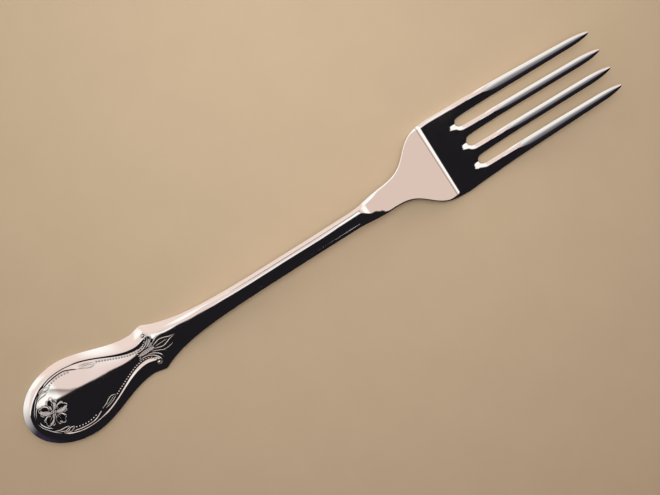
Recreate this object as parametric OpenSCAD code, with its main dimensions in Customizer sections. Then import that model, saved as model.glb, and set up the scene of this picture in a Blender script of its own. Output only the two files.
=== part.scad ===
// Dessert fork of polished metal, lying on its back with the tines up.
// +X runs from the handle's end to the tine tips, +Y is across, +Z is up, and the table is Z = 0.
// A station s is the distance in mm along X from the handle's end.
// The handle is one swept form: each zone is the stretch between two stations, so neighbours share a face.

/* [Handle end] */
// Handle's end to the waist behind the shoulders
terminal_len = 34.7; // [30:0.1:40]
// Handle's end to its widest place
terminal_round = 14.5; // [11:0.1:18]
// Width at the widest place
terminal_w = 21.1; // [18:0.1:25]
// Width at the waist
waist_w = 11.9; // [9:0.1:13]
// Width of the border round the sunk panel, at the widest place
rim_w = 2.25; // [1.5:0.05:3.5]
// Width of the border at the handle's end
rim_end_w = 1.9; // [1.2:0.1:3]
// Width of the border at the waist
rim_waist_w = 3.35; // [2.4:0.05:4]
// Depth of the panel below the border
panel_sink = 0.22; // [0.1:0.02:0.5]
// Depth of the panel at the waist
waist_sink = 0.45; // [0.1:0.05:0.6]
// Width of the slope from the border down to the panel
panel_slope_w = 0.45; // [0.2:0.05:0.8]
// Rise of the panel's middle above its edge, at the widest place
panel_crown = 0.49; // [0.2:0.01:0.9]
// Rise of the panel's middle at the waist
waist_crown = 0.15; // [0.05:0.01:0.4]
// Thickness to the top of the border
terminal_t = 1.9; // [1.4:0.1:2.6]
// Fall of a rounded border from its crest to its edge, as a share of its width
border_slope = 0.37; // [0.25:0.01:0.4]

/* [Shoulders and stem] */
// Waist to the shoulder points
shoulder_len = 3.9; // [3:0.1:8]
// Width across the shoulder points
shoulder_w = 13.2; // [12:0.1:16]
// Reach of the curve that draws the shoulders in to the stem
flare_reach = 8.7; // [6:0.1:12]
// Shoulder points to the end of the shoulder zone
flare_len = 15.5; // [12:0.5:20]
// Shoulder points to the neck
stem_len = 66.4; // [50:0.1:90]
// Width of the stem
stem_w = 4.66; // [4:0.02:6]
// Thickness of the stem
stem_t = 3.1; // [2.4:0.1:4]
// Width of the bevel along each edge of the stem and root
bevel_w = 0.8; // [0.5:0.05:1.4]
// Slope of the stem's bevels, rise over run
bevel_slope = 0.62; // [0.4:0.02:0.9]
// Rise of the stem's rounded top between its bevels
stem_crown = 0.1; // [0.05:0.01:0.4]

/* [Neck and root] */
// Neck to the crease where the root starts
neck_len = 21.1; // [16:0.1:26]
// Width of the neck
neck_w = 6.4; // [5.4:0.1:8]
// Length over which the stem widens to the neck
neck_ease = 10; // [6:0.5:14]
// Thickness of the neck
neck_t = 2.4; // [2:0.1:3.2]
// Width of the rounded edge of the neck
neck_edge_w = 0.4; // [0.3:0.05:0.8]
// Crease back to the middle of the neck's spread to the head
spread_back = 7.1; // [4:0.1:8]
// Reach of the curve that spreads the neck to the head
spread_reach = 2.1; // [1.2:0.1:2.4]
// Width across the head
head_w = 22; // [18:0.1:26]
// Crease to the bottoms of the slots
root_len = 8.9; // [7:0.1:14]
// Thickness of the root
root_t = 1.9; // [1.5:0.1:2.6]

/* [Tines] */
// Slot bottoms to the tine tips
tine_len = 40; // [30:0.5:50]
// Distance between tine middles at the slot bottoms
root_pitch = 5.9; // [5.2:0.01:6.6]
// Distance between tine middles at the tips
tip_pitch = 5.29; // [4.6:0.01:6]
// Width of an outer tine at the slot bottoms
outer_tine_w = 3.35; // [2.6:0.05:3.6]
// Width of an inner tine at the slot bottoms
inner_tine_w = 2.62; // [2.2:0.02:3]
// Spread of a tine's base on each side, at the slot bottoms
base_flare = 0.32; // [0.1:0.02:0.5]
// Reach of the curve by which the base narrows to the tine
base_reach = 4; // [2:0.5:6]
// Width of a tine where its point starts
point_w = 1.92; // [1.4:0.02:2.2]
// Length of the rounded point of a tine
point_len = 7; // [4:0.1:10]
// Width of the blunt end of a point
tip_w = 0.5; // [0.3:0.05:0.9]
// Thickness of a tine where its point starts
point_t = 1.4; // [1:0.05:1.8]
// Thickness that the point would have at the tip, before it is rounded off
tip_t = 0.9; // [0.6:0.05:1]

/* [Side profile] */
// Handle's end to where the handle lifts off the table
arch_from = 40; // [34:0.5:50]
// Handle's end to the top of the arch
arch_at = 104.5; // [98:0.5:108]
// Height of the arch, measured where its two slopes would meet
arch_h = 9; // [5:0.1:14]
// Half length of the bend where the handle lifts off
lift_ease = 8; // [5:0.5:14]
// Half length of the bend at the top of the arch
arch_ease = 2.5; // [1.5:0.5:6]
// Half length of the bend at the crease
crease_ease = 1.2; // [0.8:0.1:2]
// Slot bottoms to the middle of the tines' upward bend
curl_ahead = 7; // [5:0.5:10]
// Half length of the tines' upward bend
curl_ease = 8; // [5:0.5:10]
// Height of the underside of the tips above the table
tip_rise = 12.5; // [6:0.5:18]

/* [Hidden] */

silver = "silver";
edge_round = 0.15;
// Half width of the blunt start of the handle's round end
end_flat = 0.5;
tiny = 0.01;

// Stations of the named places
waist_at = terminal_len;
shoulder_at = waist_at + shoulder_len;
flare_end = shoulder_at + flare_len;
neck_at = shoulder_at + stem_len;
crease_at = neck_at + neck_len;
slot_at = crease_at + root_len;
tip_at = slot_at + tine_len;
point_at = tip_at - point_len;
curl_at = slot_at + curl_ahead;
spread_at = crease_at - spread_back;
// The panel ends just past the shoulder points, and its border is widest from there back to panel_from
panel_from = terminal_round + 0.27 * (waist_at - terminal_round);
panel_end = shoulder_at + 0.6;
// The tines leave the root just past the round bottoms of the slots
tine_start = slot_at + root_pitch - inner_tine_w;

// Slopes of the side profile
lift_slope = arch_h / (arch_at - arch_from);
drop_slope = arch_h / (crease_at - arch_at);
curl_slope = tip_rise / (tip_at - curl_at);

// Smooth step from 0 to 1 while t goes from 0 to 1
function smooth(t) = let (c = min(1, max(0, t))) c * c * (3 - 2 * c);

function blend(a, b, t) = a + (b - a) * smooth(t);

// Value at s from a list of [station, value], eased from each to the next
function keyed(s, keys, i = 0) =
    s <= keys[0][0] ? keys[0][1]
    : i + 1 == len(keys) ? keys[i][1]
    : s <= keys[i + 1][0]
        ? blend(keys[i][1], keys[i + 1][1], (s - keys[i][0]) / (keys[i + 1][0] - keys[i][0]))
    : keyed(s, keys, i + 1);

// A bend: 0 before it, a straight slope of 1 after it, and rounded over twice the ease
function bend(x, ease) =
    x <= -ease ? 0
    : x >= ease ? x
    : let (t = (x + ease) / (2 * ease)) 2 * ease * (pow(t, 3) - pow(t, 4) / 2);

// Height of the underside along the middle of the fork
function under(s) =
    lift_slope * bend(s - arch_from, lift_ease)
    - (lift_slope + drop_slope) * bend(s - arch_at, arch_ease)
    + drop_slope * bend(s - crease_at, crease_ease)
    + curl_slope * bend(s - curl_at, curl_ease);

// Thickness at the crest of the border or bevel
function thickness(s) = keyed(s, [
    [waist_at, terminal_t], [neck_at - 3 * neck_ease, stem_t], [neck_at - neck_ease, stem_t],
    [neck_at + 0.8 * neck_ease, neck_t], [crease_at, root_t], [tine_start, root_t],
    [point_at, point_t], [tip_at, tip_t]]);

// Half the width of the fork, from the handle's end to the end of the root
function end_ellipse(s, long, wide) = wide * sqrt(max(0, 1 - pow(1 - max(0, s) / long, 2)));

function stem_half(s) =
    stem_w / 2
    + (shoulder_w - stem_w) / 2 * exp(-(s - shoulder_at) / flare_reach)
    + (neck_w - stem_w) / 2 * smooth((s - neck_at) / neck_ease + 0.6)
    + (head_w - neck_w) / 2 / (1 + exp(-(s - spread_at) / spread_reach));

function half_w(s) =
    s < terminal_round ? max(end_flat, end_ellipse(s, terminal_round, terminal_w / 2))
    : s < waist_at ? blend(terminal_w / 2, waist_w / 2,
                           (s - terminal_round) / (waist_at - terminal_round))
    : s < shoulder_at ? blend(waist_w / 2, shoulder_w / 2, (s - waist_at) / shoulder_len)
    : min(stem_half(s), blend(head_w / 2, tine_edge(3, 1, tine_start),
                              (s - crease_at) / (tine_start - crease_at)));

// Half the width inside the border, then inside the bevels
function rim(s) = keyed(s, [
    [panel_from, rim_w], [waist_at, rim_waist_w], [flare_end + 4, bevel_w], [neck_at + 1, bevel_w],
    [neck_at + 4, neck_edge_w], [crease_at - 3, neck_edge_w], [crease_at, bevel_w]]);

function inner_half(s) =
    s < terminal_round
        ? end_ellipse(s - rim_end_w, terminal_round - rim_end_w, terminal_w / 2 - rim_w)
    : half_w(s) - rim(s);

// How far out y lies: 0 on the middle line, 1 on the outline, or on the border's inner edge
function outline_ratio(s, y) =
    s < terminal_round ? norm([1 - s / terminal_round, y / (terminal_w / 2)])
    : y / half_w(s);

function inner_ratio(s, y) =
    s < terminal_round
        ? norm([(terminal_round - s) / (terminal_round - rim_end_w), y / (terminal_w / 2 - rim_w)])
    : y / inner_half(s);

// Height of the top above the underside: the border rises to its crest, then the panel lies below it
function sink(s) = keyed(s, [
    [waist_at - 10, panel_sink], [waist_at, waist_sink], [panel_end - 3.4, waist_sink], [panel_end, 0]]);

function crown(s) = keyed(s, [
    [terminal_round, panel_crown], [waist_at, waist_crown], [flare_end, stem_crown],
    [neck_at - 3, stem_crown], [neck_at + 3, 0]]);

function edge_low(s) = 0.2 * thickness(s);
function edge_slope(s) = keyed(s, [
    [shoulder_at, border_slope], [flare_end + 4, bevel_slope], [neck_at, bevel_slope],
    [neck_at + 8, border_slope]]);
function edge_high(s) = thickness(s) - edge_slope(s) * rim(s);

function top(s, y) =
    let (o = min(1, outline_ratio(s, y)), i = inner_ratio(s, y))
    i > 1
        ? edge_high(s) + (thickness(s) - edge_high(s)) * sin(90 * (1 - o) / (1 - o + i - 1 + tiny))
        : thickness(s) + crown(s) * (1 - i * i)
          - sink(s) * smooth((1 - i) * inner_half(s) / panel_slope_w);

// Height of the underside above its middle: flat, then rising to the edge
function belly(s, y) = edge_low(s) * pow(max(0, y / half_w(s) - 0.65) / 0.35, 2);

// Places across half a section, from the middle to the edge
function across(s) =
    let (w = half_w(s),
         e = min(edge_round, w / 4),
         p = max(inner_half(s), 0.4 * w),
         foot = p - min(panel_slope_w, p / 4))
    [0, 0.4 * foot, 0.75 * foot, foot, p, (p + w - e) / 2, w - e];

// A whole cross section: along the top from right to left, then back along the underside,
// each place over its twin
function ring(s) =
    let (ys = across(s),
         w = half_w(s),
         mid = (edge_low(s) + edge_high(s)) / 2,
         row = concat([for (i = [len(ys) - 1 : -1 : 1]) -ys[i]], ys),
         upper = [for (y = row) [y, top(s, abs(y))]],
         lower = [for (i = [len(row) - 1 : -1 : 0]) [row[i], belly(s, abs(row[i]))]])
    [for (p = concat([[-w, mid]], upper, [[w, mid]], lower))
        [s - tip_at / 2, p[0], under(s) + p[1]]];

// Strips that close a ring of n points, from its first point to the one opposite
function strips(n) =
    let (m = n / 2 - 1)
    concat([[0, 1, n - 1]],
           [for (k = [1 : m - 1]) each [[k, k + 1, n - k - 1], [k, n - k - 1, n - k]]],
           [[m, m + 1, m + 2]]);

// Joins a row of rings that have equal even counts into one closed solid
module loft(rings) {
    n = len(rings[0]);
    last = len(rings) - 1;
    sides = [for (r = [0 : last - 1], k = [0 : n - 1])
        let (a = r * n + k, b = r * n + (k + 1) % n)
        each [[a, b, b + n], [a, b + n, a + n]]];
    start_cap = [for (t = strips(n)) [t[2], t[1], t[0]]];
    end_cap = [for (t = strips(n)) [for (k = t) last * n + k]];
    polyhedron([for (r = rings) each r], concat(start_cap, sides, end_cap), convexity = 6);
}

// Stations from a to b in equal steps, or crowded towards a as on a round end
function steps(a, b, count) = [for (i = [0 : count]) a + (b - a) * i / count];
function round_steps(a, b, count) = [for (i = [0 : count]) b - (b - a) * cos(90 * i / count)];

module zone(stations) {
    color(silver) loft([for (s = stations) ring(s)]);
}

// Handle zones
module handle_terminal() {
    zone(concat(round_steps(0, terminal_round, 18),
                [for (s = steps(terminal_round, waist_at, 18)) if (s > terminal_round) s]));
}

module handle_shoulder() {
    zone(concat(steps(waist_at, shoulder_at, 8),
                [for (s = steps(shoulder_at, flare_end, 10)) if (s > shoulder_at) s]));
}

module handle_stem() {
    bend_from = neck_at - 5;
    zone(concat(steps(flare_end, bend_from, 18),
                [for (s = steps(bend_from, neck_at, 8)) if (s > bend_from) s]));
}

module neck() {
    bend_to = neck_at + 4;
    fold_from = crease_at - 1.2 * crease_ease;
    zone(concat(steps(neck_at, bend_to, 8),
                [for (s = steps(bend_to, fold_from, 20)) if (s > bend_to) s],
                [for (s = steps(fold_from, crease_at, 5)) if (s > fold_from) s]));
}

// Tine middles lie evenly about the middle line, closing in a little towards the tips
function pitch(s) = root_pitch + (tip_pitch - root_pitch) * (s - slot_at) / tine_len;
function tine_y(i, s) = (i - 1.5) * pitch(s);
function base_w(i) = i == 0 || i == 3 ? outer_tine_w : inner_tine_w;

// A tine narrows from its flared base, slowly at first, then closes as a blunt round
function closing(s, power) = sqrt(max(0, 1 - pow(max(0, s - point_at) / point_len, power)));

function tine_half(i, s) =
    s < point_at
        ? (base_w(i) + (point_w - base_w(i)) * pow(max(0, s - slot_at) / (point_at - slot_at), 1.6)) / 2
          + base_flare * exp(-max(0, s - slot_at) / base_reach)
    : tip_w / 2 + (point_w - tip_w) / 2 * closing(s, 2.8);

function tine_edge(i, side, s) = tine_y(i, s) + side * tine_half(i, s);

// Slot between tine i and the next: a round bottom, then straight walls past the root's end
module slot(i) {
    lo = tine_edge(i, 1, tine_start);
    hi = tine_edge(i + 1, -1, tine_start);
    r = (hi - lo) / 2;
    translate([slot_at - tip_at / 2, 0, -root_t])
        linear_extrude(height = 4 * root_t + tip_rise)
            union() {
                translate([r, (lo + hi) / 2]) circle(r = r, $fn = 48);
                polygon([[r, lo], [tine_start - slot_at + root_len, lo],
                         [tine_start - slot_at + root_len, hi], [r, hi]]);
            }
}

module tine_root() {
    color(silver) difference() {
        zone(concat(steps(crease_at, crease_at + 2 * crease_ease, 8),
                    [for (s = steps(crease_at + 2 * crease_ease, tine_start, 8))
                        if (s > crease_at + 2 * crease_ease) s]));
        for (i = [0 : 2]) slot(i);
    }
}

// Cross section of a tine: nearly square at the root, oval at the point
function square_to_oval(s) = 2.2 + 7.8 * pow(1 - (s - tine_start) / (tip_at - tine_start), 3);
function signed_power(v, p) = sign(v) * pow(abs(v), p);

function tine_thickness(s) = thickness(s) * (0.45 + 0.55 * closing(s, 6));

function tine_ring(i, s) =
    let (p = 2 / square_to_oval(s), t = tine_thickness(s), middle = under(s) + thickness(s) / 2)
    [for (k = [0 : 15])
        [s - tip_at / 2,
         tine_y(i, s) + tine_half(i, s) * signed_power(sin(22.5 * k), p),
         middle + t / 2 * signed_power(cos(22.5 * k), p)]];

module tine(i) {
    stations = concat(steps(tine_start, point_at, 18),
                      [for (a = [15 : 15 : 90]) point_at + point_len * sin(a)]);
    color(silver) loft([for (s = stations) tine_ring(i, s)]);
}

handle_terminal();
handle_shoulder();
handle_stem();
neck();
tine_root();
tine(3);  // tine_outer_left
tine(2);  // tine_inner_left
tine(1);  // tine_inner_right
tine(0);  // tine_outer_right
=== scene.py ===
"""Dessert fork of polished silver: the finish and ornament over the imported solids."""
import math

import bpy
import numpy as np
from mathutils import Matrix, Vector


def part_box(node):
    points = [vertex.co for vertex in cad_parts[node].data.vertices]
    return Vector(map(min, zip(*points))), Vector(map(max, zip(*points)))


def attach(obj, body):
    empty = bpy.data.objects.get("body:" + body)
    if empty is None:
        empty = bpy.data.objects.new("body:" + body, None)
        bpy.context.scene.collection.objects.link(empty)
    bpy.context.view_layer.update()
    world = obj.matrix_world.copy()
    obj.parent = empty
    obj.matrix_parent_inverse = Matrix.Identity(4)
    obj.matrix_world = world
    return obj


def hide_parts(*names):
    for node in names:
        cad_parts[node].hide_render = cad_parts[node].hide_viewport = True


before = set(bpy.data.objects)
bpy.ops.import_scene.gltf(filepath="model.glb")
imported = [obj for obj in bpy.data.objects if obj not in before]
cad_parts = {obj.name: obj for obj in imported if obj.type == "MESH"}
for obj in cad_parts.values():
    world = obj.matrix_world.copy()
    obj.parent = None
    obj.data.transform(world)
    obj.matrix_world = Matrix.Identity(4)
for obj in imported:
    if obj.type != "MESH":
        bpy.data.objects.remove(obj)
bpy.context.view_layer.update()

# The fork's lengths are in millimetres, and a station s is the distance along X from the handle's end
MM = 0.001


def station_of(node, end):
    """Station where a node of the frame starts (0) or ends (1)."""
    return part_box(node)[end].x / MM - START


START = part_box("handle_terminal")[0].x / MM
WAIST_AT = station_of("handle_terminal", 1)
FLARE_END = station_of("handle_shoulder", 1)
NECK_AT = station_of("handle_stem", 1)
CREASE_AT = station_of("neck", 1)
TINE_START = station_of("tine_root", 1)
TIP_AT = station_of("tine_inner_left", 1)

# Plan of the handle
TERMINAL_ROUND = 14.5
TERMINAL_HALF = 10.55
WAIST_HALF = 5.95
SHOULDER_LEN = 3.9
SHOULDER_AT = WAIST_AT + SHOULDER_LEN
SHOULDER_HALF = 6.6
FLARE_REACH = 8.7
STEM_HALF = 2.33
# Width of the raised border at the sides, the end and the waist, and of the stem's bevels
RIM = 2.1
RIM_END = 2.1
RIM_WAIST = 3.35
BEVEL = 0.8
BEVEL_FROM = FLARE_END + 4.0

# Plan of the neck, root and tines
NECK_HALF = 3.2
NECK_EASE = 10.0
SPREAD_BACK = 7.1
SPREAD_AT = CREASE_AT - SPREAD_BACK
SPREAD_REACH = 2.1
HEAD_HALF = 11.0
NECK_ROUND = 0.35
CREASE_ROUND = 0.8
HEAD_ROUND = 1.0
SLOT_RAMP = 2.15
ROOT_LEN = 8.9
SLOT_AT = CREASE_AT + ROOT_LEN
SLOT_ROUND = 1.5
# Station where the round bottom of a slot ends and its walls begin
WALL_AT = SLOT_AT + SLOT_ROUND
ROOT_PITCH = 5.9
TIP_PITCH = 5.29
OUTER_TINE = 3.35
INNER_TINE = 2.62
BASE_FLARE = 0.32
BASE_REACH = 4.0
POINT_WIDTH = 2.3
POINT_LEN = 7.0
POINT_AT = TIP_AT - POINT_LEN
TINE_TAPER = 1.6
TIP_BLUNT = 2.0

# Thickness
TERMINAL_THICK = 1.9
STEM_THICK = 3.1
NECK_THICK = 2.4
ROOT_THICK = 1.9
TIP_THICK = 1.0

# Side profile
ARCH_FROM = 40.0
ARCH_AT = 103.3
ARCH_RISE = 9.0
LIFT_EASE = 8.0
ARCH_EASE = 1.5
BEND_AT = CREASE_AT + 0.25
CREASE_EASE = 0.8
CURL_AHEAD = 7.0
CURL_AT = SLOT_AT + CURL_AHEAD
CURL_EASE = 8.0
TIP_RISE = 12.5

# Top: depth and width of the steps down to the panel and the stem, the ledge's height and the panel's end
PANEL_SINK = 0.1
PANEL_SLOPE = 0.33
LEDGE = 0.055
END_SLOPE = 1.3
WAIST_SINK = 0.38
WAIST_SLOPE = 0.8
PANEL_END = 39.6
STEM_SINK = 0.024
STEM_SLOPE = 0.14
# Shape of the rounded borders: radius and lean as shares of their width
EDGE_ARC = 1.75
EDGE_LEAN = 0.06
# Slope of the stem's bevels, and how flat they are
BEVEL_SLOPE = 0.62
BEVEL_FLAT = 0.85
# Width over which the underside rounds up to the edge
TERMINAL_UNDER = 3.0
STEM_UNDER = 1.9
# Half width of the extra slope before each slot, and how wide it fades out beside that
GULLY_HALF = 0.7
GULLY_EASE = 0.8
# Curvature of the crowned top, by station
CROWN = [(TERMINAL_ROUND, 0.0142), (24.5, 0.0171), (32.0, 0.032), (40.0, 0.02), (46.0, 0.036), (52.0, 0.053),
         (58.0, 0.069), (67.0, 0.081), (78.0, 0.069), (89.0, 0.075), (NECK_AT - 5.0, 0.047),
         (NECK_AT + 0.2, 0.047), (NECK_AT + 1.6, 0.024), (NECK_AT + 4.0, 0.0)]

# Smooth functions of a station


def eased(t):
    """Smooth step from 0 to 1 while t goes from 0 to 1."""
    t = np.clip(t, 0.0, 1.0)
    return t * t * (3.0 - 2.0 * t)


def blend(a, b, t):
    return a + (b - a) * eased(t)


def keyed(s, *keys):
    """Value at s from pairs of station and value, eased from each to the next."""
    value = np.full(np.shape(s), float(keys[0][1]))
    for (s0, v0), (s1, v1) in zip(keys, keys[1:]):
        value = np.where(s > s0, blend(v0, v1, (s - s0) / (s1 - s0)), value)
    return value


def bend(x, ease):
    """A bend: 0 before it, a straight slope of 1 after it, rounded over twice the ease."""
    t = np.clip((x + ease) / (2.0 * ease), 0.0, 1.0)
    return np.where(x >= ease, x, 2.0 * ease * (t ** 3 - t ** 4 / 2.0))


def under(s):
    """Height of the underside along the middle of the fork."""
    lift = ARCH_RISE / (ARCH_AT - ARCH_FROM)
    drop = ARCH_RISE / (BEND_AT - ARCH_AT)
    curl = TIP_RISE / (TIP_AT - CURL_AT)
    return (lift * bend(s - ARCH_FROM, LIFT_EASE)
            - (lift + drop) * bend(s - ARCH_AT, ARCH_EASE)
            + drop * bend(s - BEND_AT, CREASE_EASE)
            + curl * bend(s - CURL_AT, CURL_EASE))


def thickness(s):
    """Thickness at the crest of the border or bevel."""
    thick = keyed(s, (WAIST_AT, TERMINAL_THICK), (NECK_AT - 30.0, STEM_THICK), (NECK_AT - 10.0, STEM_THICK),
                  (NECK_AT + 8.0, NECK_THICK), (CREASE_AT, ROOT_THICK))
    thinning = (ROOT_THICK - TIP_THICK) / (TIP_AT - TINE_START)
    return thick - thinning * np.maximum(0.0, s - TINE_START)


def end_ellipse(s, long, wide):
    return wide * np.sqrt(np.maximum(0.0, 1.0 - (1.0 - np.maximum(s, 0.0) / long) ** 2))


def half_width(s):
    """Half the width of the fork, from the handle's end to the end of the root."""
    handle = np.where(
        s < TERMINAL_ROUND, end_ellipse(np.minimum(s, TERMINAL_ROUND), TERMINAL_ROUND, TERMINAL_HALF),
        blend(TERMINAL_HALF, WAIST_HALF, (s - TERMINAL_ROUND) / (WAIST_AT - TERMINAL_ROUND)))
    handle = np.where(
        s < WAIST_AT, handle,
        blend(WAIST_HALF, SHOULDER_HALF, (s - WAIST_AT) / (SHOULDER_AT - WAIST_AT)))
    past = np.maximum(s - SHOULDER_AT, 0.0)
    stem = (STEM_HALF
            + (SHOULDER_HALF - STEM_HALF) * np.exp(-past / FLARE_REACH)
            + (NECK_HALF - STEM_HALF) * eased((s - NECK_AT) / NECK_EASE + 0.6)
            + (HEAD_HALF - NECK_HALF) / (1.0 + np.exp(-(s - SPREAD_AT) / SPREAD_REACH)))
    head = blend(HEAD_HALF, tine_edge(3, 1, TINE_START), (s - CREASE_AT) / (TINE_START - CREASE_AT))
    return np.where(s < SHOULDER_AT, handle, np.minimum(stem, head))


def tine_middle(i, s):
    pitch = ROOT_PITCH + (TIP_PITCH - ROOT_PITCH) * (s - SLOT_AT) / (TIP_AT - SLOT_AT)
    return (i - 1.5) * pitch


def tine_half(i, s):
    """Half the width of tine i: it tapers from its flared base, then closes as a long ellipse."""
    base = OUTER_TINE if i in (0, 3) else INNER_TINE
    along = np.clip((s - SLOT_AT) / (POINT_AT - SLOT_AT), 0.0, 1.0)
    width = base + (POINT_WIDTH - base) * along ** TINE_TAPER
    closing = np.sqrt(np.maximum(0.0, 1.0 - np.maximum(0.0, (s - POINT_AT) / POINT_LEN) ** TIP_BLUNT))
    flare = BASE_FLARE * np.exp(-np.maximum(0.0, s - SLOT_AT) / BASE_REACH)
    return (width / 2.0 + flare) * closing


def tine_edge(i, side, s):
    return tine_middle(i, s) + side * tine_half(i, s)


def rim_width(s):
    """Distance from the outline in to the panel, then in to the bevel's ridge."""
    return keyed(s, (TERMINAL_ROUND + 5.5, RIM), (WAIST_AT, RIM_WAIST), (BEVEL_FROM, BEVEL),
                 (NECK_AT + 1.0, BEVEL), (NECK_AT + 4.0, NECK_ROUND), (CREASE_AT - 3.0, NECK_ROUND),
                 (CREASE_AT, CREASE_ROUND))


def inner_half(s):
    """Half the width of the panel, then between the ridges of the bevels."""
    end = end_ellipse(np.minimum(s, TERMINAL_ROUND) - RIM_END, TERMINAL_ROUND - RIM_END,
                      TERMINAL_HALF - RIM)
    return np.where(s < TERMINAL_ROUND, end, half_width(s) - rim_width(s))


# Distances on the plan, worked out on the half where y is positive


def round_stations(start, stop, count):
    """Stations crowded towards start, as an elliptical end needs."""
    return stop - (stop - start) * np.cos(np.linspace(0.0, math.pi / 2.0, count))


def outline_path():
    """Half the outline: handle, root, outer tine, slot, inner tine and half the middle slot."""
    handle_s = np.concatenate([round_stations(0.0, TERMINAL_ROUND, 90),
                               np.arange(TERMINAL_ROUND + 0.1, TINE_START, 0.1)])
    path = [np.stack([handle_s, half_width(handle_s)], 1)]
    turn = np.linspace(0.0, math.pi, 40)
    for i in (3, 2):
        out_from = TINE_START if i == 3 else WALL_AT
        out_s = TIP_AT - round_stations(0.0, TIP_AT - out_from, 260)[::-1]
        back_s = TIP_AT - round_stations(0.0, TIP_AT - WALL_AT, 260)
        path.append(np.stack([out_s, tine_edge(i, 1, out_s)], 1))
        path.append(np.stack([back_s, tine_edge(i, -1, back_s)], 1))
        high = tine_edge(i, -1, WALL_AT)
        low = tine_edge(i - 1, 1, WALL_AT)
        path.append(np.stack([WALL_AT - SLOT_ROUND * np.sin(turn),
                              (high + low) / 2.0 + (high - low) / 2.0 * np.cos(turn)], 1))
    return np.concatenate(path)


def inner_path():
    """Half the panel's outline, going on as the ridge of the bevels."""
    s = np.concatenate([RIM_END + round_stations(0.0, TERMINAL_ROUND - RIM_END, 80),
                        np.arange(TERMINAL_ROUND + 0.1, TINE_START, 0.1)])
    return np.stack([s, inner_half(s)], 1)


# How far along the fork the nearest line is looked for, and how many points are done at once
REACH = 6.0
CHUNK = 400


def distance(path, s, y):
    """Distance from each point to a path of straight steps, which lies within reach of it."""
    points = np.stack([np.ravel(s), np.abs(np.ravel(y))], 1)
    a = path[:-1]
    step = path[1:] - a
    size = np.maximum((step ** 2).sum(1), 1e-12)
    found = np.empty(len(points))
    for k in range(0, len(points), CHUNK):
        some = points[k:k + CHUNK]
        near = (a[:, 0] > some[:, 0].min() - REACH) & (a[:, 0] < some[:, 0].max() + REACH)
        away = some[:, None, :] - a[None, near]
        t = np.clip((away * step[near]).sum(2) / size[near], 0.0, 1.0)
        gap = away - t[..., None] * step[near]
        found[k:k + CHUNK] = np.sqrt((gap ** 2).sum(2).min(1))
    return found.reshape(np.shape(s))


OUTLINE = outline_path()
INNER = inner_path()

# Surfaces over the plan


def quarter_round(t):
    """Rises steeply from 0, then levels off at 1."""
    return np.sqrt(np.maximum(0.0, 1.0 - (1.0 - np.clip(t, 0.0, 1.0)) ** 2))


def edge_drop(t):
    """Drop below the crest of a rounded border of width 1, from its outer edge (0) to its crest (1)."""
    x = 1.0 - np.clip(t, 0.0, 1.0)
    return EDGE_LEAN * x + EDGE_ARC - np.sqrt(EDGE_ARC ** 2 - x ** 2)


def edge_height(s):
    """Height of the outermost line of the edge above the underside."""
    arc = edge_drop(0.0)
    slope = keyed(s, (SHOULDER_AT, arc), (BEVEL_FROM, BEVEL_SLOPE), (NECK_AT, BEVEL_SLOPE),
                  (NECK_AT + 8.0, arc))
    share = keyed(s, (CREASE_AT + 3.0, 1.0), (TINE_START, 0.8), (TINE_START + 10.0, 0.85))
    handle = thickness(s) - slope * rim_width(s)
    return np.where(s < CREASE_AT + 3.0, handle, np.minimum(handle, thickness(s) * share))


def crown(s, y):
    """Rise of the top inside the border or the bevels."""
    panel_half = TERMINAL_HALF - RIM
    end = panel_half ** 2 * (1.0 - ((TERMINAL_ROUND - s) / (TERMINAL_ROUND - RIM_END)) ** 2) - y ** 2
    return keyed(s, *CROWN) * np.where(s < TERMINAL_ROUND, end, inner_half(s) ** 2 - y ** 2) / 2.0


def top(s, y):
    """Height of the top of the handle, neck and root."""
    out = distance(OUTLINE, s, y)
    inner = distance(INNER, s, y)
    inside = (np.abs(y) <= inner_half(s)) & (s > RIM_END)
    high = thickness(s)
    edge = edge_height(s)
    across = out / np.maximum(out + inner, 1e-9)
    flat = keyed(s, (SHOULDER_AT, 0.0), (BEVEL_FROM, BEVEL_FLAT), (NECK_AT, BEVEL_FLAT),
                 (NECK_AT + 8.0, 0.0))
    rounded = 1.0 - edge_drop(across) / edge_drop(0.0)
    border = edge + (high - edge) * ((1.0 - flat) * rounded + flat * across)
    sink = keyed(s, (24.0, PANEL_SINK), (WAIST_AT, WAIST_SINK), (PANEL_END - 3.4, WAIST_SINK),
                 (PANEL_END, 0.0), (BEVEL_FROM, 0.0), (BEVEL_FROM + 8.0, STEM_SINK),
                 (NECK_AT - 6.0, STEM_SINK), (NECK_AT - 1.0, 0.0))
    slope = keyed(s, (5.5, END_SLOPE), (TERMINAL_ROUND - 3.0, PANEL_SLOPE), (24.0, PANEL_SLOPE),
                  (WAIST_AT, WAIST_SLOPE), (PANEL_END, WAIST_SLOPE), (FLARE_END, STEM_SLOPE))
    # A low ledge inside the step, on both sides of the panel
    ledge = keyed(s, (8.0, 0.0), (10.5, LEDGE), (17.5, LEDGE), (20.0, 0.0))
    ledge_width = keyed(s, (15.0, 0.68), (20.0, 1.7))
    ledge = ledge * eased(inner / 0.2) * (1.0 - eased((inner - ledge_width) / 0.28))
    panel = high - sink * eased(inner / slope) + ledge + crown(s, y)
    return under(s) + np.where(inside, panel, border)


def bottom(s, y):
    """Height of the underside: flat, then rounded up to the edge."""
    out = distance(OUTLINE, s, y)
    reach = keyed(s, (TERMINAL_ROUND, TERMINAL_UNDER), (FLARE_END, STEM_UNDER), (NECK_AT, STEM_UNDER),
                  (CREASE_AT, CREASE_ROUND))
    return under(s) + edge_height(s) * (1.0 - quarter_round(out / reach))


# Meshes

# Vertex attribute that carries the share of painted shade to the material: shade in the crease, the petal
# hollows and round the bead bases, and a dimming of the tines
PAINTED_SHADE = "painted_shade"


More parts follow.
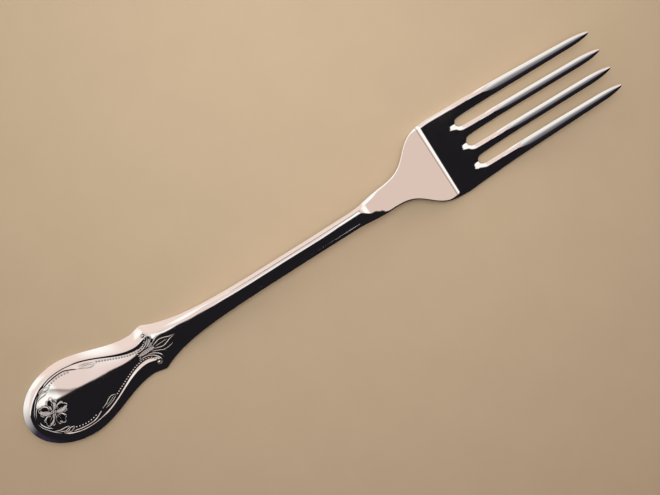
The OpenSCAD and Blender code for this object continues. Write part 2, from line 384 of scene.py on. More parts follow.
def silver_piece(name, verts, faces, normals, replaced, painted_shade):
    """Adds a piece, with set normals where neighbours shade as one surface, and painted shade by vertex."""
    mesh = bpy.data.meshes.new(name)
    mesh.from_pydata((verts * MM).tolist(), [], faces)
    mesh.polygons.foreach_set("use_smooth", [True] * len(mesh.polygons))
    if normals is not None:
        mesh.normals_split_custom_set_from_vertices(normals.tolist())
    mesh.materials.append(SILVER)
    mesh.attributes.new(PAINTED_SHADE, "FLOAT", "POINT").data.foreach_set("value", painted_shade)
    piece = bpy.data.objects.new(name, mesh)
    bpy.context.collection.objects.link(piece)
    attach(piece, "root")
    if replaced:
        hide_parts(replaced)


def place(s, y, z):
    """Points in space from stations, places across and heights."""
    return np.stack([s + START, y, z], -1)


def unit(v):
    return v / np.maximum(np.linalg.norm(v, axis=-1, keepdims=True), 1e-12)


# Lines along the underside of the handle, and how far those along its top crowd towards the edges
BOTTOM_COUNT = 30
EDGE_SHARE = 0.7


def handle_zone(name, stations, top_count, painted_shade=0.0):
    """A stretch of the handle between two stations, closed at both ends, with painted shade by station."""
    # A row before and a row after give the end rows their normals and are then left out
    first = stations[0] - 0.02 if stations[0] > 1.0 else stations[0] * 0.5
    rows = np.concatenate([[first], stations, [stations[-1] + 0.02]])
    t_top = np.linspace(-1.0, 1.0, top_count)
    t_top = (1.0 - EDGE_SHARE) * t_top + EDGE_SHARE * np.sin(t_top * math.pi / 2.0)
    t_bottom = np.sin(np.linspace(1.0, -1.0, BOTTOM_COUNT + 2)[1:-1] * math.pi / 2.0)
    w = half_width(rows)[:, None]
    s_top, y_top = np.broadcast_arrays(rows[:, None], w * t_top)
    s_low, y_low = np.broadcast_arrays(rows[:, None], w * t_bottom)
    grid = np.concatenate([place(s_top, y_top, top(s_top, y_top)),
                           place(s_low, y_low, bottom(s_low, y_low))], 1)
    along = grid[2:] - grid[:-2]
    round_it = np.roll(grid, -1, 1)[1:-1] - np.roll(grid, 1, 1)[1:-1]
    normals = unit(np.cross(along, round_it))
    grid = grid[1:-1]
    count, n = grid.shape[:2]
    faces = []
    for r in range(count - 1):
        for k in range(n):
            nxt = (k + 1) % n
            faces.append((r * n + k, (r + 1) * n + k, (r + 1) * n + nxt, r * n + nxt))
    faces.append(tuple(range(n)))
    faces.append(tuple((count - 1) * n + k for k in reversed(range(n))))
    # Painted shade, spread from each station over its whole ring
    shade_by_point = np.broadcast_to(np.reshape(painted_shade, (-1, 1)), (count, n)).ravel()
    silver_piece(name + "_skin", grid.reshape(-1, 3), faces, normals.reshape(-1, 3), name, shade_by_point)


# Share of painted shade towards the points, which dims the tines' reflection
TINE_SHADE = 0.06
TINES = ["tine_outer_right", "tine_inner_right", "tine_inner_left", "tine_outer_left"]
# Tines and the slots between them
COLUMNS = 2 * len(TINES) - 1


def head_columns():
    """Lines along the head: where they lie across a tine and across a slot, from -1 to 1."""
    tine = np.sin(np.linspace(-1.0, 1.0, 23) * math.pi / 2.0)
    slot = np.sin(np.linspace(-1.0, 1.0, 17)[1:-1] * math.pi / 2.0)
    return tine, slot


def build_head():
    """Root and tines as one net of quads, then split into their zones."""
    tine_t, slot_t = head_columns()
    wall_past = WALL_AT - CREASE_AT
    # Rows past the crease; the first lies before it, gives the edge its normals and is then left out
    past = np.concatenate([[-0.05], np.linspace(0.0, 1.4, 22), np.linspace(1.6, wall_past - 2.0, 14),
                           wall_past - 2.0 * np.cos(np.linspace(0.15, math.pi / 2.0, 14))])
    root_s = CREASE_AT + past
    split_s = np.linspace(WALL_AT, TINE_START, 8)[1:]
    free_s = TIP_AT - round_stations(0.0, TIP_AT - TINE_START, 120)[::-1][1:]
    free_s[-1] = TIP_AT - 0.002
    tine_s = np.concatenate([root_s, split_s, free_s])
    edges = {(i, side): tine_edge(i, side, WALL_AT) for i in range(4) for side in (-1, 1)}
    half_at_wall = half_width(np.array([WALL_AT]))[0]
    edges[(3, 1)] = half_at_wall
    edges[(0, -1)] = -half_at_wall

    def tine_grid(i):
        lo = np.where(tine_s > WALL_AT, tine_edge(i, -1, tine_s), edges[(i, -1)])
        hi = np.where(tine_s > WALL_AT, tine_edge(i, 1, tine_s), edges[(i, 1)])
        outline = half_width(np.minimum(tine_s, TINE_START))
        hi = np.where((tine_s < TINE_START) & (i == 3), outline, hi)
        lo = np.where((tine_s < TINE_START) & (i == 0), -outline, lo)
        y = (lo + hi)[:, None] / 2.0 + (hi - lo)[:, None] / 2.0 * tine_t
        return np.broadcast_to(tine_s[:, None], y.shape), y

    def slot_grid(i):
        lo, hi = edges[(i, 1)], edges[(i + 1, -1)]
        y = (lo + hi) / 2.0 + (hi - lo) / 2.0 * slot_t
        stop = WALL_AT - SLOT_ROUND * np.sqrt(1.0 - slot_t ** 2)
        s = CREASE_AT + past[:, None] * (stop - CREASE_AT) / wall_past
        return s, np.broadcast_to(y, s.shape)

    verts = []
    faces = []
    zones = []
    top_ids = []
    low_ids = []
    total = 0
    for column in range(COLUMNS):
        i = column // 2
        s, y = tine_grid(i) if column % 2 == 0 else slot_grid(i)
        upper, lower = head_heights(s, y)
        sheets = []
        for z in (upper, lower):
            ids = total + np.arange(s.size).reshape(s.shape)
            verts.append(place(s, y, z).reshape(-1, 3))
            total += s.size
            sheets.append(ids)
        top_ids.append(sheets[0])
        low_ids.append(sheets[1])
    root_rows = len(root_s)
    split_row = root_rows + len(split_s) - 1

    def joined(sheets):
        """Point numbers by column, where each slot takes in the lines it shares with the tines beside it."""
        made = []
        for column, ids in enumerate(sheets):
            if column % 2:
                before = sheets[column - 1][:root_rows, -1:]
                after = sheets[column + 1][:root_rows, :1]
                ids = np.concatenate([before, ids, after], 1)
            made.append(ids)
        return made

    joined_top = joined(top_ids)
    joined_low = joined(low_ids)

    def quads(ids, flip, tine):
        for r in range(ids.shape[0] - 1):
            zone = "tine_root" if tine is None or r < split_row else tine
            for k in range(ids.shape[1] - 1):
                q = (ids[r, k], ids[r + 1, k], ids[r + 1, k + 1], ids[r, k + 1])
                faces.append(tuple(reversed(q)) if flip else q)
                zones.append(zone)

    for column in range(COLUMNS):
        tine = TINES[column // 2] if column % 2 == 0 else None
        quads(joined_top[column], False, tine)
        quads(joined_low[column], True, tine)

    verts = np.concatenate(verts)
    # The two sheets share the line where they meet at the edge
    same = np.arange(total)
    for column in range(COLUMNS):
        t_ids, l_ids = joined_top[column], joined_low[column]
        if column % 2:
            same[l_ids[-1, 1:-1]] = t_ids[-1, 1:-1]
            continue
        i = column // 2
        left_from = 0 if i == 0 else root_rows - 1
        right_from = 0 if i == 3 else root_rows - 1
        same[l_ids[left_from:, 0]] = t_ids[left_from:, 0]
        same[l_ids[right_from:, -1]] = t_ids[right_from:, -1]
        same[l_ids[-1, :]] = t_ids[-1, :]
    faces = [tuple(same[list(f)]) for f in faces]

    corners = np.array(faces)
    p = verts[corners]
    face_normal = np.cross(p[:, 2] - p[:, 0], p[:, 3] - p[:, 1])
    normals = np.zeros_like(verts)
    for k in range(4):
        np.add.at(normals, corners[:, k], face_normal)
    normals = unit(normals)

    zones = np.array(zones)
    first_row = np.isin(corners, np.concatenate([ids[0] for ids in joined_top + joined_low])).any(1)
    for name in ["tine_root"] + TINES:
        keep = (zones == name) & ~first_row
        mine = [tuple(f) for f in corners[keep]]
        mine += caps(mine)
        used = np.unique(np.concatenate([np.array(f) for f in mine]))
        renumber = np.full(total, -1)
        renumber[used] = np.arange(len(used))
        clean = []
        for f in mine:
            ring = []
            for v in renumber[list(f)]:
                if v not in ring:
                    ring.append(int(v))
            if len(ring) > 2:
                clean.append(tuple(ring))
        # Painted shade: the tines darken from past the slots towards their points
        tine_shade = TINE_SHADE * eased((verts[used, 0] - START - SLOT_AT - 4.0) / 9.0)
        silver_piece(name + "_skin", verts[used], clean, normals[used], name, tine_shade)


def caps(faces):
    """Faces that close the open loops of a sheet of faces."""
    edges = {}
    for f in faces:
        for a, b in zip(f, f[1:] + f[:1]):
            if a != b:
                edges[(a, b)] = edges.get((a, b), 0) + 1
    follow = {b: a for a, b in edges if (b, a) not in edges}
    loops = []
    while follow:
        start, nxt = follow.popitem()
        loop = [start]
        while nxt != start:
            loop.append(nxt)
            nxt = follow.pop(nxt)
        loops.append(tuple(loop))
    return loops


# Least half width that the dome of a tine is shaped for
LEAST_DOME = POINT_WIDTH / 2.6


def head_heights(s, y):
    """Heights of the top and underside of the root and tines."""
    out = distance(OUTLINE, s, y)
    reach = keyed(s, (SLOT_AT - 3.0, CREASE_ROUND), (TINE_START, HEAD_ROUND), (TINE_START + 14.0, 2.0))
    # The top slopes down further round the slot bottoms
    slot_off = np.min([np.abs(y - k * ROOT_PITCH) for k in (-1, 0, 1)], axis=0)
    gully = (1.0 - eased((slot_off - GULLY_HALF) / GULLY_EASE)) * eased((s - CREASE_AT - 2.0) / 3.0)
    gully = gully * (1.0 - eased((s - SLOT_AT) / (TINE_START - SLOT_AT)))
    reach = reach + (SLOT_RAMP - HEAD_ROUND) * gully
    for i in range(4):
        near = np.abs(y - tine_middle(i, s)) <= tine_half(i, s) + 0.01
        full = np.maximum(tine_half(i, s), LEAST_DOME)
        reach = np.where(near & (s > TINE_START), np.minimum(reach, full), reach)
    out = np.clip(out / np.maximum(reach, 1e-6), 0.0, 1.0)
    edge = edge_height(s)
    high = thickness(s)
    dome = keyed(s, (CREASE_AT, 0.0), (TINE_START, 0.65), (TINE_START + 4.0, 1.0))
    fullness = keyed(s, (TINE_START + 3.0, 2.0), (TINE_START + 16.0, 3.0))
    rounded = 1.0 - edge_drop(out) / edge_drop(0.0)
    rise = (1.0 - dome) * rounded + dome * (1.0 - (1.0 - out) ** fullness)
    return under(s) + edge + (high - edge) * rise, under(s) + edge * (1.0 - quarter_round(out))


# Ornament of the panel: raised lines, beads, leaves and a rosette, the same on both sides of the middle


def flow(points, count):
    """Even points on a smooth curve through a few given ones, and the curve's length."""
    p = np.array(points, float)
    p = np.concatenate([[2 * p[0] - p[1]], p, [2 * p[-1] - p[-2]]])
    fine = []
    for k in range(1, len(p) - 2):
        u = np.linspace(0.0, 1.0, 24, endpoint=False)[:, None]
        a, b, c, d = p[k - 1], p[k], p[k + 1], p[k + 2]
        fine.append(0.5 * (2 * b + (c - a) * u + (2 * a - 5 * b + 4 * c - d) * u ** 2
                           + (3 * b - a - 3 * c + d) * u ** 3))
    fine = np.concatenate(fine + [p[-2:-1]])
    run = np.concatenate([[0.0], np.cumsum(np.linalg.norm(np.diff(fine, axis=0), axis=1))])
    at = np.linspace(0.0, run[-1], count)
    return np.stack([np.interp(at, run, fine[:, k]) for k in range(fine.shape[1])], 1), run[-1]


def on_side(points, side):
    """The points as they are, or mirrored in the middle line where side is -1."""
    return [(s, side * y) for s, y in points]


class Relief:
    """Gathers the vertices and faces of many small raised forms into one piece."""

    def __init__(self):
        self.verts = []
        self.faces = []
        self.painted_shade = []
        self.count = 0

    def sheet(self, grid, wrap, painted_shade):
        """Adds a net of points as quads, with their painted shade; wrap closes each row into a ring."""
        rows, cols = grid.shape[:2]
        self.painted_shade.append(np.broadcast_to(painted_shade, (rows, cols)).ravel())
        ids = self.count + np.arange(rows * cols).reshape(rows, cols)
        if wrap:
            ids = np.concatenate([ids, ids[:, :1]], 1)
        self.verts.append(grid.reshape(-1, 3))
        self.count += rows * cols
        for r in range(rows - 1):
            for k in range(ids.shape[1] - 1):
                self.faces.append((int(ids[r, k]), int(ids[r, k + 1]), int(ids[r + 1, k + 1]),
                                   int(ids[r + 1, k])))

    def line(self, points, thick, taper=(0.25, 0.25), sides=10):
        """A raised line along a curve on the top, thinner at its ends."""
        spots = flow(points, max(8, 6 * len(points)))[0]
        t = np.linspace(0.0, 1.0, len(spots))
        radius = thick / 2.0 * np.minimum(1.0, 0.15 + np.minimum(t / taper[0], (1.0 - t) / taper[1]))
        ahead = unit(np.gradient(spots, axis=0))
        turn = np.linspace(0.0, 2.0 * math.pi, sides, endpoint=False)
        z = top(spots[:, 0], spots[:, 1])
        s = spots[:, :1] - ahead[:, 1:] * radius[:, None] * np.cos(turn)
        y = spots[:, 1:] + ahead[:, :1] * radius[:, None] * np.cos(turn)
        self.sheet(place(s, y, z[:, None] + radius[:, None] * np.sin(turn)), True, 0.0)

    def bead(self, s, y, size):
        """A round bead that stands half proud of the top, with painted shade round its lower part."""
        rings = np.linspace(0.05, math.pi * 0.62, 6)[:, None]
        turn = np.linspace(0.0, 2.0 * math.pi, 10, endpoint=False)
        r = size / 2.0
        base = top(np.array([s]), np.array([y]))[0]
        # The rings darken from the upper part down to the panel as painted shade
        self.sheet(place(s + r * np.sin(rings) * np.cos(turn), y - r * np.sin(rings) * np.sin(turn),
                         base + r * 0.9 * np.cos(rings) + 0.0 * turn), True, eased((rings - 0.6) / 0.6))

    def bead_row(self, points, pitch, size):
        length = flow(points, 8)[1]
        for s, y in flow(points, max(2, int(round(length / pitch))))[0]:
            self.bead(s, y, size)

    def leaf(self, points, width, height, widest, hollow, rib, hollow_shade):
        """A leaf or petal along a curve: raised edge, hollow blade darkened with painted shade, and a rib
        with less of it.
        """
        rows, cols = 22, 17
        spots = flow(points, rows)[0]
        ahead = unit(np.gradient(spots, axis=0))
        t = np.linspace(0.0, 1.0, rows)
        swell = np.where(t < widest, np.sin(np.minimum(t / widest, 1.0) * math.pi / 2.0) ** 0.8,
                         np.sqrt(np.maximum(0.0, 1.0 - ((t - widest) / (1.0 - widest)) ** 2)))
        half = (width / 2.0 * np.maximum(swell, 0.04))[:, None]
        d = np.linspace(-1.0, 1.0, cols)
        s = spots[:, :1] - ahead[:, 1:] * half * d
        y = spots[:, 1:] + ahead[:, :1] * half * d
        body = np.sqrt(np.maximum(0.0, 1.0 - np.abs(d) ** 6))
        blade = 1.0 - hollow * np.maximum(0.0, 1.0 - (d / 0.85) ** 2)
        veins = rib * np.exp(-(d / 0.13) ** 2)
        ends = np.minimum(1.0, np.minimum(t / 0.12, (1.0 - t) / 0.08))[:, None]
        rise = height * body * (blade + veins) * ends - 0.06 * (1.0 - body * np.sqrt(ends))
        # Painted shade fills the hollow blade and thins out along the rib
        blade_shade = 1.0 - eased((np.abs(d) - 0.75) / 0.2)
        rib_less_shade = 0.6 * np.exp(-(d / 0.1) ** 2)
        shade = hollow_shade * blade_shade * (1.0 - rib_less_shade) * ends
        self.sheet(place(s, y, top(s, y) + rise)[:, ::-1], False, shade[:, ::-1])

    def piece(self, name):
        verts = np.concatenate(self.verts)
        silver_piece(name, verts, self.faces, None, None, np.concatenate(self.painted_shade))


ROSETTE_AT = 7.9
PETALS = 5
BOSS_BEADS = 6
BOSS_RADIUS = 0.5


def rosette_point(turn, r):
    return ROSETTE_AT + r * math.cos(turn), r * math.sin(turn)


def build_rosette():
    """Five hollow petals with raised, waved rims, round a boss of beads."""
    rosette = Relief()
    # Radius and angle in degrees, round the rim of one petal
    rim = [(0.8, -12), (1.6, -25), (2.5, -29), (3.1, -27), (3.45, -20), (3.3, -13), (3.7, -7), (3.95, 0),
           (3.7, 7), (3.3, 13), (3.45, 20), (3.1, 27), (2.5, 29), (1.6, 25), (0.8, 12)]
    for k in range(PETALS):
        turn = 2.0 * math.pi * k / PETALS
        middle = [rosette_point(turn, r) for r in (0.3, 1.4, 2.5, 3.6)]
        rosette.leaf(middle, width=2.9, height=0.16, widest=0.62, hollow=0.9, rib=0.0, hollow_shade=0.5)
        rosette.line([rosette_point(turn + math.radians(a), r) for r, a in rim], 0.22, (0.1, 0.1))
        for a in (-17, 0, 17):
            vein = [rosette_point(turn + math.radians(a), r) for r in (0.9, 1.8, 2.7)]
            rosette.line(vein, 0.13, (0.3, 0.7))
    for k in range(BOSS_BEADS):
        s, y = rosette_point(math.radians(360.0 / BOSS_BEADS * k), BOSS_RADIUS)
        rosette.bead(s, y, 0.5)
    rosette.bead(ROSETTE_AT, 0.0, 0.65)
    rosette.piece("panel_rosette")


# Raised lines on one side of the panel: thickness, then points as station and place across
FLOURISH = [
    (0.24, [(18.8, 6.1), (20.3, 5.6), (21.6, 4.85), (22.6, 4.55), (23.8, 4.8)]),
    (0.22, [(19.6, 6.5), (21.2, 6.2), (22.5, 5.75), (23.8, 5.1)]),
    (0.16, [(20.2, 6.0), (21.4, 5.7), (22.6, 5.15), (23.4, 4.9)])]
SCROLL = [(33.4, 0.95), (35.4, 0.95), (36.8, 1.4), (37.9, 2.2), (38.5, 3.1), (38.6, 3.9), (38.1, 4.45),
          (37.5, 4.3), (37.4, 3.9), (37.8, 3.65), (38.1, 3.9)]
SCROLL_SPRAYS = [
    (0.3, [(36.2, 0.75), (37.8, 1.3), (38.9, 2.1), (39.4, 3.0), (39.3, 3.5)]),
    (0.22, [(37.6, 0.7), (39.0, 1.2), (40.0, 1.7), (40.8, 2.2)])]
ROSETTE_LEAVES = [
    (0.32, [(3.4, 0.5), (3.5, 1.4), (4.3, 2.6), (5.4, 3.5)]),
    (0.22, [(2.8, 0.7), (3.2, 1.9), (4.1, 3.2), (5.4, 4.7), (6.6, 5.7)]),
    (0.32, [(5.2, 4.3), (6.6, 4.85), (8.4, 5.0), (9.2, 5.2)]),
    (0.28, [(6.2, 5.0), (7.6, 5.75), (8.8, 5.6), (9.4, 5.2)]),
    (0.32, [(7.0, 5.9), (8.4, 6.2), (9.3, 5.75), (10.5, 6.0)]),
    (0.26, [(7.2, 6.2), (8.8, 6.65), (9.8, 6.4), (10.5, 6.05)])]
BUD_SIDES = [
    (0.18, [(38.6, 0.9), (40.0, 1.75), (41.8, 1.95), (43.6, 1.6)]),
    (0.3, [(38.2, 0.2), (39.4, 0.65), (40.8, 1.0), (42.2, 0.75), (43.4, 0.3), (44.8, 0.05)])]
# Rows of beads: pitch, size and points
BEAD_ROWS = [
    (0.74, 0.48, [(10.7, 6.45), (12.0, 6.85), (13.5, 7.05), (15.0, 7.0), (16.5, 6.7)]),
    (0.70, 0.5, [(24.2, 5.0), (26.0, 4.2), (28.0, 3.3), (30.0, 2.45), (32.0, 1.75), (34.0, 1.4),
                 (35.0, 1.4), (36.0, 1.65), (37.0, 2.25), (37.7, 3.0)])]


def build_ornament():
    threads = Relief()
    beads = Relief()
    leaves = Relief()
    for side in (1, -1):
        for thick, points in FLOURISH:
            threads.line(on_side(points, side), thick)
        threads.line(on_side(SCROLL, side), 0.34, (0.2, 0.1))
        for thick, points in SCROLL_SPRAYS + ROSETTE_LEAVES + BUD_SIDES:
            threads.line(on_side(points, side), thick)
        for pitch, size, points in BEAD_ROWS:
            beads.bead_row(on_side(points, side), pitch, size)
        # The eye of the scroll
        beads.bead(37.75, 3.95 * side, 0.85)
    # Stalk and bud on the middle line
    stalk = [(33.9, 0.0), (35.4, 0.0), (37.0, 0.0), (38.8, 0.0)]
    leaves.leaf(stalk, width=1.1, height=0.2, widest=0.4, hollow=0.3, rib=0.3, hollow_shade=0.0)
    threads.line([(39.0, 0.0), (40.2, 0.0), (41.4, 0.0), (42.6, 0.0)], 0.2)
    for y in (0.55, 0.0, -0.55):
        beads.bead(34.1, y, 0.45)
    threads.piece("panel_scrolls")
    beads.piece("panel_beads")
    leaves.piece("panel_leaves")
    build_rosette()


# Materials


def node(tree, kind, **sockets):
    made = tree.nodes.new(kind)
    for key, value in sockets.items():
        made.inputs[key.replace("_", " ")].default_value = value
    return made


def math_node(tree, operation, *values):
    """A sum or the like of values, each a number or a socket."""
    made = tree.nodes.new("ShaderNodeMath")
    made.operation = operation
    for k, value in enumerate(values):
        if isinstance(value, (int, float)):
            made.inputs[k].default_value = value
        else:
            tree.links.new(value, made.inputs[k])
    return made.outputs[0]


def ramp(tree, factor, low, high, span=(0.0, 1.0), curve="LINEAR"):
    """A value that goes from low to high as the factor goes over its span."""
    made = tree.nodes.new("ShaderNodeMapRange")
    made.interpolation_type = curve
    tree.links.new(factor, made.inputs["Value"])
    made.inputs["From Min"].default_value = span[0]
    made.inputs["From Max"].default_value = span[1]
    made.inputs["To Min"].default_value = low
    made.inputs["To Max"].default_value = high
    return made.outputs["Result"]


def tint(tree, factor, a, b):
    """A colour that goes from a to b, each a colour or a socket, as the factor goes from 0 to 1."""
    made = tree.nodes.new("ShaderNodeMix")
    made.data_type = "RGBA"
    tree.links.new(factor, made.inputs["Factor"])
    ends = [k for k in made.inputs if k.type == "RGBA"]
    for target, value in zip(ends, (a, b)):
        if isinstance(value, tuple):
            target.default_value = value
        else:
            tree.links.new(value, target)
    return [k for k in made.outputs if k.type == "RGBA"][0]


TARNISH_AND_SHADE = (0.08, 0.07, 0.07, 1.0)
POLISHED = (0.93, 0.915, 0.885, 1.0)
TABLE_DARK = (0.515, 0.388, 0.250, 1.0)
TABLE_PALE = (0.575, 0.436, 0.286, 1.0)


def make_silver():
    """Polished silver darkened in its recesses by tarnish and painted shade, and by vertex with painted
    shade, with faint hairlines and an uneven gloss.
    """
    material = bpy.data.materials.new("polished_silver")
    material.use_nodes = True
    tree = material.node_tree
    shader = tree.nodes["Principled BSDF"]
    shader.inputs["Metallic"].default_value = 1.0
    place_on = tree.nodes.new("ShaderNodeTexCoord").outputs["Object"]
    # Ambient occlusion darkens the recesses: partly tarnish that silver takes there, deepened as painted
    # shade
    recess_shade = node(tree, "ShaderNodeAmbientOcclusion", Distance=0.7 * MM)
    recess_shade.samples = 8
    unoccluded = ramp(tree, recess_shade.outputs["AO"], 0.0, 1.0, (0.35, 0.95))
    # Painted shade carried by vertex: along the crease, in the petal hollows, round the bead bases and on
    # the tines
    carried_shade = tree.nodes.new("ShaderNodeAttribute")
    carried_shade.attribute_name = PAINTED_SHADE
    unshaded = ramp(tree, carried_shade.outputs["Fac"], 1.0, 0.0)
    polish = math_node(tree, "MULTIPLY", unoccluded, unshaded)
    tree.links.new(tint(tree, polish, TARNISH_AND_SHADE, POLISHED), shader.inputs["Base Color"])
    gloss = node(tree, "ShaderNodeTexNoise", Scale=180.0, Detail=3.0)
    tree.links.new(place_on, gloss.inputs["Vector"])
    tree.links.new(ramp(tree, gloss.outputs["Fac"], 0.015, 0.05), shader.inputs["Roughness"])
    stretch = node(tree, "ShaderNodeMapping", Scale=(300.0, 4000.0, 300.0))
    stretch.inputs["Rotation"].default_value = (0.0, 0.0, 0.25)
    tree.links.new(place_on, stretch.inputs["Vector"])
    hairs = node(tree, "ShaderNodeTexNoise", Scale=1.0, Detail=2.0)
    tree.links.new(stretch.outputs["Vector"], hairs.inputs["Vector"])
    bump = node(tree, "ShaderNodeBump", Strength=0.02, Distance=0.02 * MM)
    tree.links.new(hairs.outputs["Fac"], bump.inputs["Height"])
    tree.links.new(bump.outputs["Normal"], shader.inputs["Normal"])
    return material


def make_table():
    """Pale matt table top, faintly mottled."""
    material = bpy.data.materials.new("table_top")
    material.use_nodes = True
    tree = material.node_tree
    shader = tree.nodes["Principled BSDF"]
    shader.inputs["Roughness"].default_value = 0.7
    place_on = tree.nodes.new("ShaderNodeTexCoord").outputs["Object"]
    cloud = node(tree, "ShaderNodeTexNoise", Scale=70.0, Detail=6.0, Roughness=0.65)
    tree.links.new(place_on, cloud.inputs["Vector"])
    tree.links.new(tint(tree, cloud.outputs["Fac"], TABLE_DARK, TABLE_PALE), shader.inputs["Base Color"])
    grain = node(tree, "ShaderNodeTexNoise", Scale=1500.0, Detail=2.0)
    tree.links.new(place_on, grain.inputs["Vector"])
    bump = node(tree, "ShaderNodeBump", Strength=0.15, Distance=0.05 * MM)
    tree.links.new(grain.outputs["Fac"], bump.inputs["Height"])
    tree.links.new(bump.outputs["Normal"], shader.inputs["Normal"])
    return material


SILVER = make_silver()

terminal_s = np.concatenate([round_stations(0.0, TERMINAL_ROUND, 90)[1:],
                             np.arange(TERMINAL_ROUND + 0.2, WAIST_AT - 0.05, 0.2), [WAIST_AT]])
neck_s = np.concatenate([np.linspace(NECK_AT - 3.0, CREASE_AT - 1.2, 100),
                         np.linspace(CREASE_AT - 1.1, CREASE_AT, 16)])
neck_s = np.concatenate([[NECK_AT], neck_s[neck_s > NECK_AT + 0.05]])
# Painted shade lies along the crease
crease_shade = 0.5 * np.exp(-((neck_s - CREASE_AT + 0.4) / 0.14) ** 2)
handle_zone("handle_terminal", terminal_s, top_count=161)
handle_zone("handle_shoulder", np.linspace(WAIST_AT, FLARE_END, 90), top_count=121)
handle_zone("handle_stem", np.linspace(FLARE_END, NECK_AT, 120), top_count=81)
handle_zone("neck", neck_s, top_count=121, painted_shade=crease_shade)
build_head()
build_ornament()

# Floor, light and camera, with lengths in metres
FLOOR_HALF = 2.0
floor_mesh = bpy.data.meshes.new("table")
floor_mesh.from_pydata([(-FLOOR_HALF, -FLOOR_HALF, 0), (FLOOR_HALF, -FLOOR_HALF, 0),
                        (FLOOR_HALF, FLOOR_HALF, 0), (-FLOOR_HALF, FLOOR_HALF, 0)], [], [(0, 1, 2, 3)])
floor_mesh.materials.append(make_table())
floor = bpy.data.objects.new("table", floor_mesh)
bpy.context.collection.objects.link(floor)

# Colours of the surround
FAR_WALL = (0.84, 0.69, 0.65, 1.0)
FAR_WALL_LOW = (0.91, 0.74, 0.67, 1.0)
RIGHT_WALL = (0.755, 0.595, 0.525, 1.0)
LEFT_WALL = (1.0, 0.97, 0.94, 1.0)
WINDOW = (1.08, 1.06, 1.04, 1.0)
POST = (0.12, 0.09, 0.08, 1.0)
STEM_GREY = (0.25, 0.22, 0.2, 1.0)
NEAR_DARK = (0.012, 0.011, 0.013, 1.0)
LEFT_DARK = (0.03, 0.024, 0.045, 1.0)


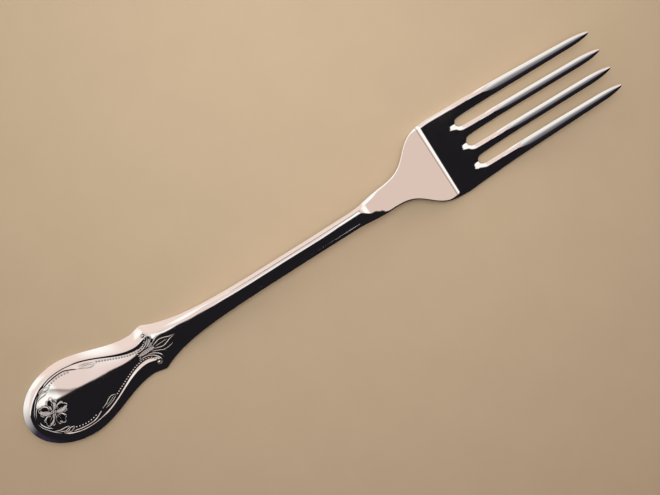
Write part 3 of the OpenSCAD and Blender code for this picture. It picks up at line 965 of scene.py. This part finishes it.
def make_world():
    """A bright surround on the far side and a dark one on the near side, by direction alone."""
    world = bpy.data.worlds.new("room")
    bpy.context.scene.world = world
    world.use_nodes = True
    tree = world.node_tree
    links = tree.links
    direction = tree.nodes.new("ShaderNodeTexCoord").outputs["Generated"]

    def dot(vector):
        made = tree.nodes.new("ShaderNodeVectorMath")
        made.operation = "DOT_PRODUCT"
        links.new(direction, made.inputs[0])
        made.inputs[1].default_value = vector
        return made.outputs["Value"]

    def soft(value, offset, width):
        """Goes smoothly from 0 to 1 within a width of the offset on either side."""
        return ramp(tree, value, 0.0, 1.0, (offset - width, offset + width), "SMOOTHSTEP")

    def mix(factor, a, b):
        return tint(tree, factor, a, b)

    def below(value, limit, width):
        return math_node(tree, "SUBTRACT", 1.0, soft(value, limit, width))

    def both(*factors):
        made = factors[0]
        for factor in factors[1:]:
            made = math_node(tree, "MULTIPLY", made, factor)
        return made

    def either(*factors):
        made = factors[0]
        for factor in factors[1:]:
            made = math_node(tree, "MAXIMUM", made, factor)
        return made

    # Direction along the fork to the tines, to the far side and up
    ahead = dot((1.0, 0.0, 0.0))
    far = dot((0.0, 1.0, 0.0))
    high = dot((0.0, 0.0, 1.0))
    # The dark near side ends at a sharp edge overhead, and at a softer one on the left
    far_edge = dot((0.174, 0.985, 0.0566))
    left_side = below(ahead, -0.465, 0.035)
    light_side = either(soft(far_edge, 0.0, 0.008), soft(dot((-0.85, 0.52, -0.276)), 0.13, 0.02))
    # Far wall, paler low down and darker to the right
    room = mix(soft(far, 0.3, 0.2), FAR_WALL, FAR_WALL_LOW)
    room = mix(soft(ahead, 0.4, 0.15), room, RIGHT_WALL)
    # The left wall darkens from the far left round to the near side
    left_turn = math_node(tree, "ARCTAN2", far, math_node(tree, "MULTIPLY", ahead, -1.0))
    fall = math_node(tree, "POWER", ramp(tree, left_turn, 0.0, 1.0, (-0.4, 0.5)), 1.2)
    fall = both(fall, ramp(tree, ahead, 0.6, 1.0, (-0.43, -0.49)))
    room = mix(left_side, room, mix(fall, LEFT_DARK, LEFT_WALL))
    # Windows low on the left and right of the far wall, and bright strips along the dark edge
    left_window = both(soft(left_turn, 0.87, 0.06), below(left_turn, 1.15, 0.08), below(high, 0.82, 0.05))
    right_window = both(soft(dot((0.97, -0.24, 0.0)), 0.0, 0.08), soft(dot((-0.25, 0.97, 0.0)), 0.02, 0.06))
    stem_strip = both(soft(ahead, -0.40, 0.03), below(ahead, -0.25, 0.03), below(far_edge, 0.036, 0.02))
    panel_strip = both(soft(ahead, -0.26, 0.03), below(ahead, -0.165, 0.008), below(far_edge, 0.14, 0.05))
    neck_strip = both(soft(ahead, 0.1, 0.05), below(ahead, 0.6, 0.08), below(far_edge, 0.25, 0.1))
    # A dark post, and a faint grey band beyond the stem's strip
    post_side = dot((1.0, 0.703, 0.0))
    post = both(ramp(tree, post_side, 0.0, 1.0, (-0.178, -0.14)), below(post_side, -0.133, 0.007),
                below(far_edge, 0.09, 0.02), soft(ahead, -0.2, 0.02))
    lights = either(left_window, right_window, stem_strip, panel_strip, neck_strip)
    room = mix(lights, room, WINDOW)
    room = mix(math_node(tree, "MULTIPLY", post, 0.75), room, POST)
    stem_grey = both(soft(ahead, -0.34, 0.03), below(ahead, -0.2, 0.03), soft(far_edge, 0.075, 0.02),
                     below(far_edge, 0.2, 0.05))
    room = mix(math_node(tree, "MULTIPLY", stem_grey, 0.15), room, STEM_GREY)
    shadow = mix(below(ahead, -0.6, 0.2), NEAR_DARK, LEFT_DARK)
    colour = mix(light_side, shadow, room)
    background = tree.nodes["Background"]
    links.new(colour, background.inputs["Color"])
    background.inputs["Strength"].default_value = 1.0


make_world()

# Camera: it looks at a point on the table, from above and leaning a little to the far side
CAMERA_AWAY = 0.62
CAMERA_LEAN = math.radians(5.955)
CAMERA_TURN = math.radians(57.06)
CAMERA_TARGET = Vector((0.003156, -0.003504, 0.0))
LENS = 130.75
camera_data = bpy.data.cameras.new("camera")
camera_data.lens = LENS
camera_data.sensor_width = 36.0
camera = bpy.data.objects.new("camera", camera_data)
bpy.context.collection.objects.link(camera)
back = Vector((0.0, math.sin(CAMERA_LEAN), math.cos(CAMERA_LEAN)))
up = Vector((math.cos(CAMERA_TURN), math.sin(CAMERA_TURN), 0.0))
up = (up - back * up.dot(back)).normalized()
right = up.cross(back)
camera.matrix_world = Matrix.LocRotScale(CAMERA_TARGET + back * CAMERA_AWAY,
                                         Matrix((right, up, back)).transposed().to_quaternion(), None)
bpy.context.scene.camera = camera

# Lamp: a soft pool of light on the far side of the table
LAMP_HEIGHT = 0.6
LAMP_AT = CAMERA_TARGET + 0.12 * up - 0.05 * right
LAMP_AIM = CAMERA_TARGET + 0.07 * up - 0.016 * right
LAMP_AT.z = LAMP_HEIGHT
LAMP_AIM.z = 0.0
lamp_data = bpy.data.lights.new("key", "SPOT")
lamp_data.energy = 13.0
lamp_data.color = (0.96, 1.0, 1.04)
lamp_data.spot_size = 0.57
lamp_data.spot_blend = 1.0
lamp_data.shadow_soft_size = 0.13
lamp = bpy.data.objects.new("key", lamp_data)
lamp.visible_glossy = False
bpy.context.collection.objects.link(lamp)
lamp.location = LAMP_AT
lamp.rotation_euler = (LAMP_AIM - LAMP_AT).to_track_quat("-Z", "Y").to_euler()

bpy.context.scene.view_settings.view_transform = "Standard"
